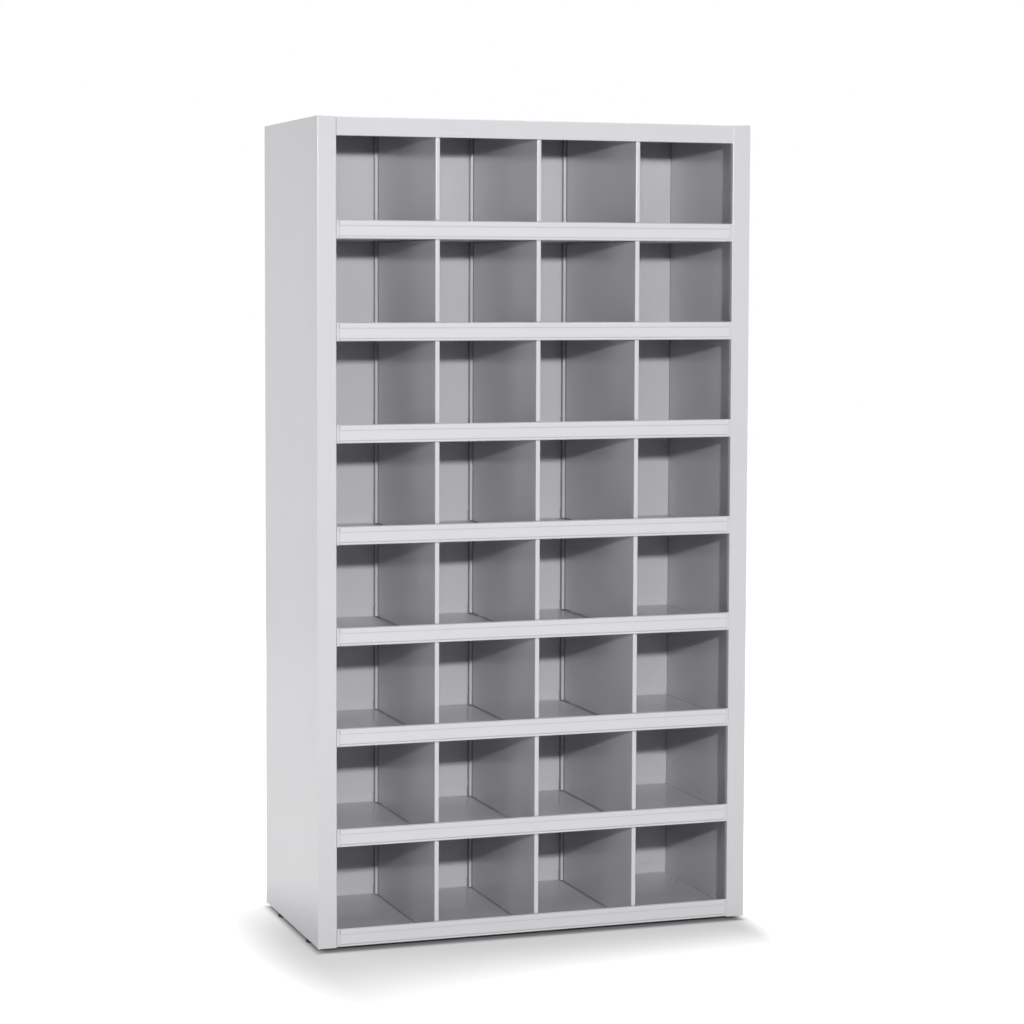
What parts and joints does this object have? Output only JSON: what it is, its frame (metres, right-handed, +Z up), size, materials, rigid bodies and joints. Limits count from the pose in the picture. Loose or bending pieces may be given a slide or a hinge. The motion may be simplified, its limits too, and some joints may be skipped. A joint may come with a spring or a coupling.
{
  "type": "pigeonhole mail sorter",
  "caption": "Tall free-standing sheet-steel pigeonhole cabinet: open-fronted compartments in a regular grid, label channels on the shelf fronts, screw-adjustable levelling feet.",
  "frame": {"origin": "on the floor, at the middle of the footprint's bounding box", "axes": "+Z up; the open front faces -Y; +X to the right of someone who stands in front of it"},
  "size_m": [1, 0.4674, 1.8],
  "materials": {
    "carcase_paint": "light grey satin powder coat",
    "shelf_paint": "light grey satin powder coat",
    "divider_paint": "light grey satin powder coat",
    "label_holder_paint": "light grey satin powder coat",
    "nut_paint": "light grey satin powder coat over the weld nut",
    "screw_zinc": "bright zinc-plated steel",
    "pad_plastic": "black moulded plastic"
  },
  "bodies": {
    "cabinet": {"side_panel_left": "carcase_paint", "side_panel_right": "carcase_paint", "top_panel": "carcase_paint", "back_panel": "carcase_paint", "shelf_1": "shelf_paint", "label_holder_1": "label_holder_paint", "divider_row1_1": "divider_paint", "divider_row1_2": "divider_paint", "divider_row1_3": "divider_paint", "shelf_2": "shelf_paint", "label_holder_2": "label_holder_paint", "divider_row2_1": "divider_paint", "divider_row2_2": "divider_paint", "divider_row2_3": "divider_paint", "shelf_3": "shelf_paint", "label_holder_3": "label_holder_paint", "divider_row3_1": "divider_paint", "divider_row3_2": "divider_paint", "divider_row3_3": "divider_paint", "shelf_4": "shelf_paint", "label_holder_4": "label_holder_paint", "divider_row4_1": "divider_paint", "divider_row4_2": "divider_paint", "divider_row4_3": "divider_paint", "shelf_5": "shelf_paint", "label_holder_5": "label_holder_paint", "divider_row5_1": "divider_paint", "divider_row5_2": "divider_paint", "divider_row5_3": "divider_paint", "shelf_6": "shelf_paint", "label_holder_6": "label_holder_paint", "divider_row6_1": "divider_paint", "divider_row6_2": "divider_paint", "divider_row6_3": "divider_paint", "shelf_7": "shelf_paint", "label_holder_7": "label_holder_paint", "divider_row7_1": "divider_paint", "divider_row7_2": "divider_paint", "divider_row7_3": "divider_paint", "shelf_8": "shelf_paint", "label_holder_8": "label_holder_paint", "divider_row8_1": "divider_paint", "divider_row8_2": "divider_paint", "divider_row8_3": "divider_paint", "foot_weld_nuts": "nut_paint"},
    "pad_front_left": {"foot_pad_front_left": "pad_plastic"},
    "screw_front_left": {"levelling_screw_front_left": "screw_zinc"},
    "pad_front_right": {"foot_pad_front_right": "pad_plastic"},
    "screw_front_right": {"levelling_screw_front_right": "screw_zinc"},
    "pad_rear_left": {"foot_pad_rear_left": "pad_plastic"},
    "screw_rear_left": {"levelling_screw_rear_left": "screw_zinc"},
    "pad_rear_right": {"foot_pad_rear_right": "pad_plastic"},
    "screw_rear_right": {"levelling_screw_rear_right": "screw_zinc"}
  },
  "joints": [
    {"name": "foot_height_front_left", "type": "slide", "parent": "cabinet", "child": "pad_front_left", "axis": [0, 0, -1], "range_m": [0, 0.005]},
    {"name": "foot_turn_front_left", "type": "hinge", "parent": "pad_front_left", "child": "screw_front_left", "pos_m": [-0.483, -0.1233, 0.0085], "axis": [0, 0, -1], "range_deg": [0, 1441]},
    {"name": "foot_height_front_right", "type": "slide", "parent": "cabinet", "child": "pad_front_right", "axis": [0, 0, -1], "range_m": [0, 0.005]},
    {"name": "foot_turn_front_right", "type": "hinge", "parent": "pad_front_right", "child": "screw_front_right", "pos_m": [0.483, -0.1233, 0.0085], "axis": [0, 0, -1], "range_deg": [0, 1441]},
    {"name": "foot_height_rear_left", "type": "slide", "parent": "cabinet", "child": "pad_rear_left", "axis": [0, 0, -1], "range_m": [0, 0.005]},
    {"name": "foot_turn_rear_left", "type": "hinge", "parent": "pad_rear_left", "child": "screw_rear_left", "pos_m": [-0.483, 0.1257, 0.0085], "axis": [0, 0, -1], "range_deg": [0, 1441]},
    {"name": "foot_height_rear_right", "type": "slide", "parent": "cabinet", "child": "pad_rear_right", "axis": [0, 0, -1], "range_m": [0, 0.005]},
    {"name": "foot_turn_rear_right", "type": "hinge", "parent": "pad_rear_right", "child": "screw_rear_right", "pos_m": [0.483, 0.1257, 0.0085], "axis": [0, 0, -1], "range_deg": [0, 1441]}
  ],
  "couplings": [
    {"joint": "foot_turn_front_left", "follows": "foot_height_front_left", "rad_per_m": 5026.5},
    {"joint": "foot_turn_front_right", "follows": "foot_height_front_right", "rad_per_m": 5026.5},
    {"joint": "foot_turn_rear_left", "follows": "foot_height_rear_left", "rad_per_m": 5026.5},
    {"joint": "foot_turn_rear_right", "follows": "foot_height_rear_right", "rad_per_m": 5026.5}
  ]
}
